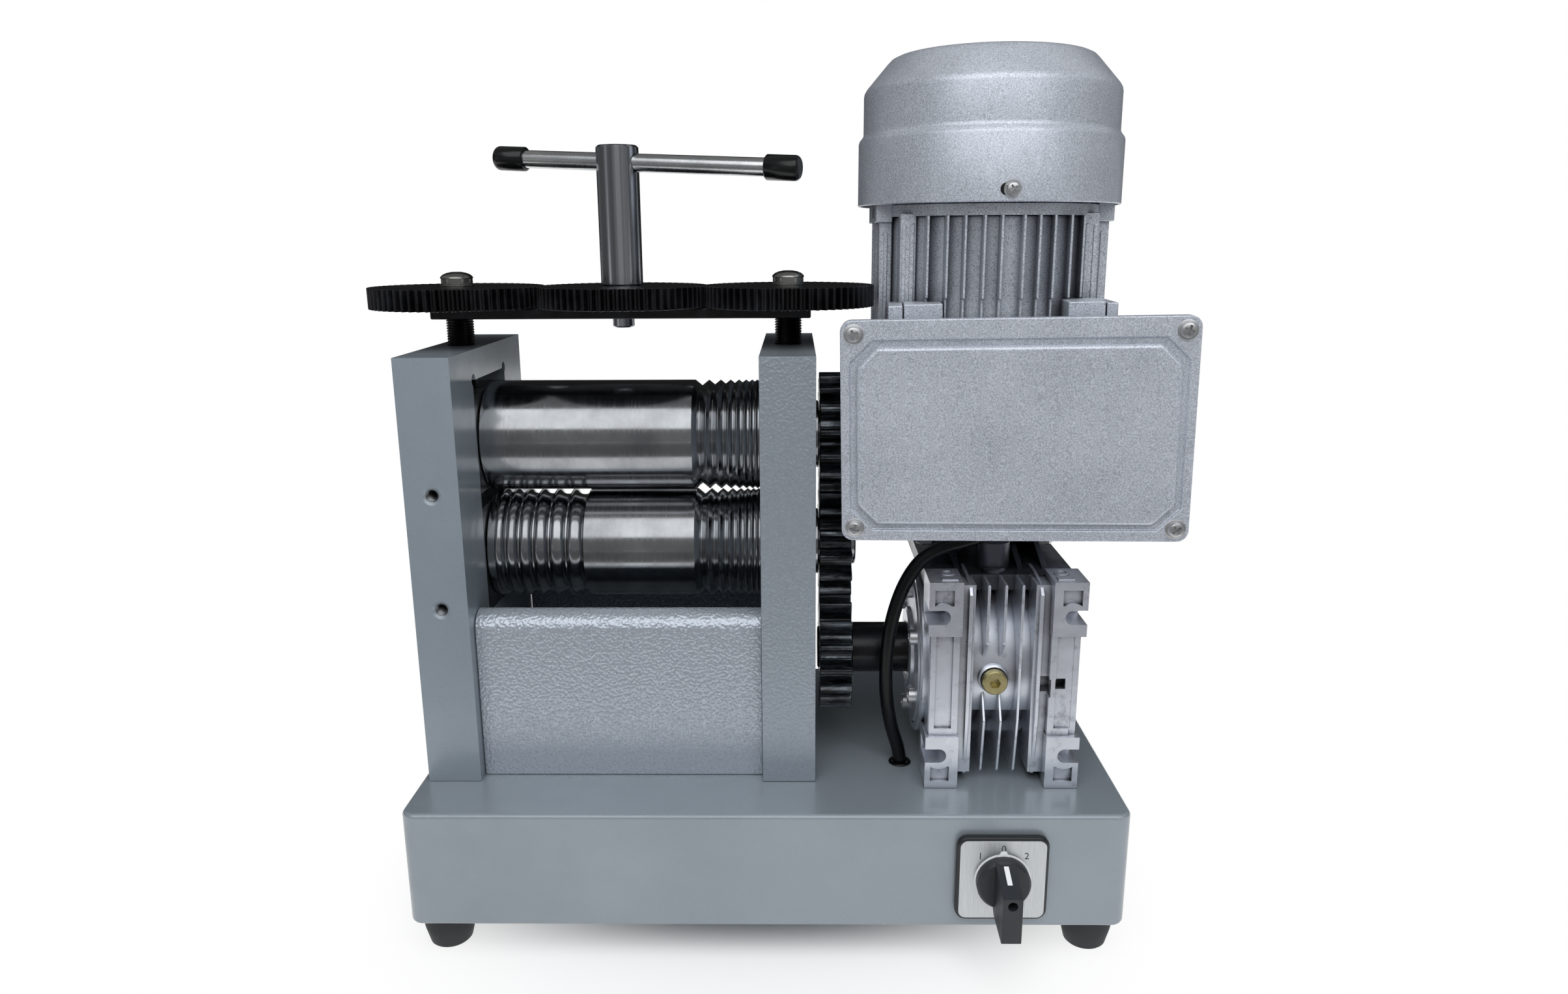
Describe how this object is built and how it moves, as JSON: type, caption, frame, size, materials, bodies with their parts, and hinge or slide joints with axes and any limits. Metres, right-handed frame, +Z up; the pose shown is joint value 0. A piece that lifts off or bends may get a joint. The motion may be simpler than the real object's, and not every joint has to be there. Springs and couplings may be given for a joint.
{
  "type": "electric rolling mill",
  "caption": "Bench rolling mill with two grooved steel rolls in a heavy frame, a geared T-handle that sets the roll gap, and an upright geared motor on a box base.",
  "frame": {"origin": "on the ground, under the centre of the overall box", "axes": "+Z up, +X along the rolls towards the motor, +Y away from the operator"},
  "size_m": [0.4483, 0.2564, 0.4915],
  "materials": {
    "base_paint": "satin grey paint",
    "frame_paint": "smooth metallic grey paint",
    "hammer_paint": "silver hammered paint",
    "polished_steel": "hardened and polished steel",
    "ground_steel": "ground bare steel",
    "black_steel": "oiled blackened steel",
    "bronze": "bearing bronze",
    "cast_aluminium": "bare bright die casting",
    "motor_paint": "light metallic grey paint on cast aluminium",
    "brass": "turned brass",
    "black_plastic": "moulded black plastic",
    "rubber": "matt black rubber",
    "copper": "stator core with copper windings"
  },
  "bodies": {
    "stand": {"base_housing": "base_paint", "base_cover": "base_paint", "foot_front_left": "rubber", "foot_front_right": "rubber", "foot_rear_left": "rubber", "foot_rear_right": "rubber", "left_frame": "frame_paint", "right_frame": "hammer_paint", "front_skirt": "hammer_paint", "rear_skirt": "hammer_paint", "lower_left_block": "ground_steel", "lower_right_block": "ground_steel", "lower_left_bush": "bronze", "lower_right_bush": "bronze", "left_front_spring": "ground_steel", "left_rear_spring": "ground_steel", "right_front_spring": "ground_steel", "right_rear_spring": "ground_steel", "gearbox_housing": "cast_aluminium", "output_cover": "cast_aluminium", "oil_plug": "brass", "motor_end_shield": "motor_paint", "motor_housing": "motor_paint", "stator_core": "copper", "fan_cover": "motor_paint", "terminal_box": "motor_paint", "terminal_lid": "motor_paint", "motor_cable": "black_plastic", "cable_grommet": "rubber", "switch_body": "black_plastic", "mains_gland": "black_plastic"},
    "carriage": {"gear_strap": "black_steel", "upper_left_block": "ground_steel", "upper_right_block": "ground_steel", "upper_left_bush": "bronze", "upper_right_bush": "bronze"},
    "handle": {"centre_adjusting_gear": "black_steel", "handle_post": "polished_steel"},
    "bar": {"handle_bar": "polished_steel", "left_grip": "black_plastic", "right_grip": "black_plastic"},
    "left_screw": {"left_pressure_screw": "black_steel", "left_adjusting_gear": "black_steel", "left_gear_cap": "ground_steel"},
    "right_screw": {"right_pressure_screw": "black_steel", "right_adjusting_gear": "black_steel", "right_gear_cap": "ground_steel"},
    "upper_roll_set": {"upper_roll": "polished_steel", "upper_roll_gear": "black_steel"},
    "lower_roll_set": {"lower_roll": "polished_steel", "lower_roll_gear": "black_steel"},
    "output": {"output_shaft": "black_steel", "drive_pinion": "black_steel", "worm_wheel": "bronze"},
    "motor_rotor": {"rotor": "ground_steel", "worm": "ground_steel", "cooling_fan": "black_plastic"},
    "knob": {"switch_knob": "black_plastic"}
  },
  "joints": [
    {"name": "roll_gap", "type": "slide", "parent": "stand", "child": "carriage", "axis": [0, 0, 1], "range_m": [-0.001, 0.005], "stiffness_N_per_m": 1500, "springref_m": 0.0595, "deforming": ["left_front_spring", "left_rear_spring", "right_front_spring", "right_rear_spring"]},
    {"name": "handle_turn", "type": "hinge", "parent": "carriage", "child": "handle", "pos_m": [-0.07795, 0.01485, 0.3588], "axis": [0, 0, 1], "range_deg": [-1200, 240]},
    {"name": "bar_slide", "type": "slide", "parent": "handle", "child": "bar", "axis": [0.9549, -0.2919, -0.0541], "range_m": [-0.076, 0.0457]},
    {"name": "left_screw_turn", "type": "hinge", "parent": "carriage", "child": "left_screw", "pos_m": [-0.17395, 0.01485, 0.3588], "axis": [0, 0, 1], "range_deg": [-240, 1200]},
    {"name": "right_screw_turn", "type": "hinge", "parent": "carriage", "child": "right_screw", "pos_m": [0.01804, 0.01485, 0.3588], "axis": [0, 0, 1], "range_deg": [-240, 1200]},
    {"name": "motor_spin", "type": "hinge", "parent": "stand", "child": "motor_rotor", "pos_m": [0.13654, 0.04742, 0.3226], "axis": [0, 0, 1], "continuous": true},
    {"name": "output_spin", "type": "hinge", "parent": "stand", "child": "output", "pos_m": [0.0455, -0.00258, 0.149], "axis": [1, 0, 0], "continuous": true},
    {"name": "lower_roll_spin", "type": "hinge", "parent": "stand", "child": "lower_roll_set", "pos_m": [-0.07795, 0.01485, 0.211], "axis": [1, 0, 0], "continuous": true},
    {"name": "upper_roll_spin", "type": "hinge", "parent": "carriage", "child": "upper_roll_set", "pos_m": [-0.07795, 0.01485, 0.2773], "axis": [1, 0, 0], "continuous": true},
    {"name": "selector_turn", "type": "hinge", "parent": "stand", "child": "knob", "pos_m": [0.13365, -0.1, 0.0528], "axis": [0, 1, 0], "range_deg": [-45, 45]}
  ],
  "couplings": [
    {"joint": "roll_gap", "follows": "handle_turn", "m_per_rad": -0.00023873},
    {"joint": "left_screw_turn", "follows": "handle_turn", "ratio": -1},
    {"joint": "right_screw_turn", "follows": "handle_turn", "ratio": -1},
    {"joint": "output_spin", "follows": "motor_spin", "ratio": 0.033333},
    {"joint": "lower_roll_spin", "follows": "motor_spin", "ratio": -0.033333},
    {"joint": "upper_roll_spin", "follows": "motor_spin", "ratio": 0.033333}
  ]
}
